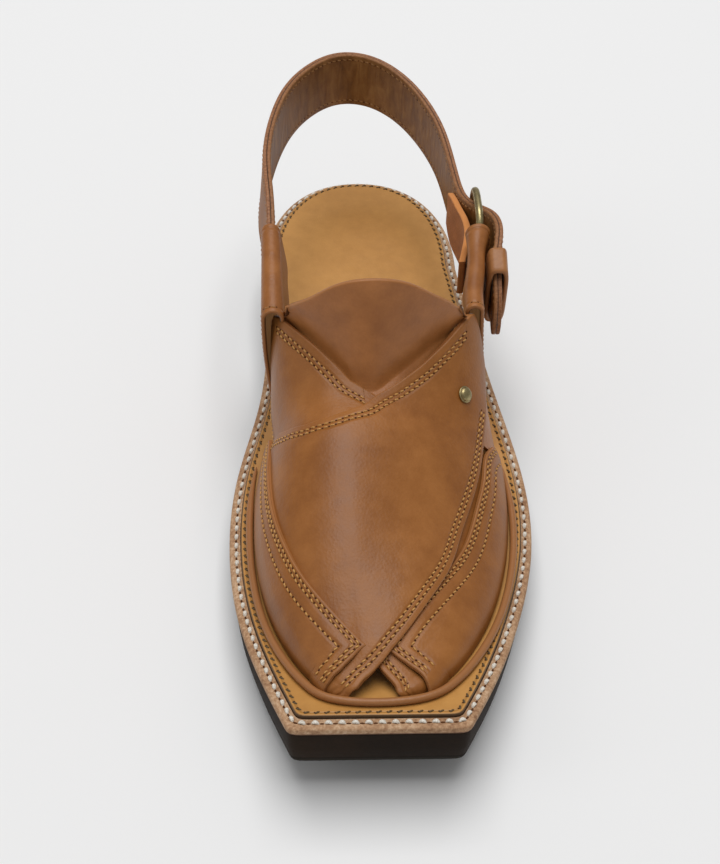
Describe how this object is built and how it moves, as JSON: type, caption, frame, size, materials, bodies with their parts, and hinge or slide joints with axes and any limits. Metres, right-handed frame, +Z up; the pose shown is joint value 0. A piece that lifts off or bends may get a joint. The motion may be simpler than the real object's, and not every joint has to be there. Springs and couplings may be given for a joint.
{
  "type": "peshawari chappal",
  "caption": "Left peshawari chappal in tan leather: crossed upper panels over an open square toe, tongue, folded ears and a buckled heel strap on a thick rubber sole.",
  "frame": {"origin": "On the floor, in the middle of the bounding box of the shoe.", "axes": "+Z is up, the toe points to -Y and the heel to +Y, and +X is the outer (lateral) side with the buckle."},
  "size_m": [0.115, 0.306, 0.109],
  "materials": {
    "sole_rubber": "dark brown rubber, matt, moulded smooth with a fine line above the tread",
    "midsole_leather": "natural undyed leather with a cut edge and a row of white stitches",
    "footbed_leather": "smooth mustard-tan leather with a dark edge and a brown stitch row",
    "upper_leather": "mottled tan-brown pull-up leather, satin, with orange-brown thread",
    "suede": "orange-brown suede with a raw cut edge",
    "antique_brass": "antique brass, olive-gold, worn satin"
  },
  "bodies": {
    "root": {"outsole": "sole_rubber", "midsole": "midsole_leather", "footbed": "footbed_leather", "rand": "upper_leather", "upper": "upper_leather", "wing_medial": "upper_leather", "wing_lateral": "upper_leather", "tongue": "upper_leather", "ear_medial": "upper_leather", "ear_lateral": "upper_leather", "heel_strap": "upper_leather", "buckle_frame": "antique_brass", "buckle_prong": "antique_brass", "buckle_tab": "suede", "keeper": "upper_leather", "stud": "antique_brass"}
  },
  "joints": []
}
